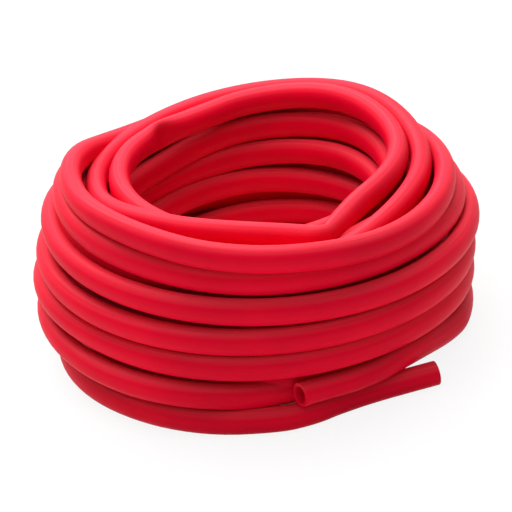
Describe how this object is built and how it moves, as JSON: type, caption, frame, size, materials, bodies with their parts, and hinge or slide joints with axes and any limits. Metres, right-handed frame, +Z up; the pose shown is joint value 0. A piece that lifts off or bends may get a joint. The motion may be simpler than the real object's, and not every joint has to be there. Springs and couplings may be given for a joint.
{
  "type": "rubber vacuum tubing",
  "caption": "Loose coil of red rubber vacuum tubing, wound in rings, with two open ends lying side by side at the front.",
  "frame": {"origin": "centre of the coil, on the surface that it lies on", "axes": "+Z up along the coil's axis; the two free ends are on the -Y side, and the upper mouth points to -X"},
  "size_m": [0.1874, 0.1845, 0.0846],
  "materials": {
    "rubber": "satin"
  },
  "bodies": {
    "root": {"tubing": "rubber"}
  },
  "joints": []
}
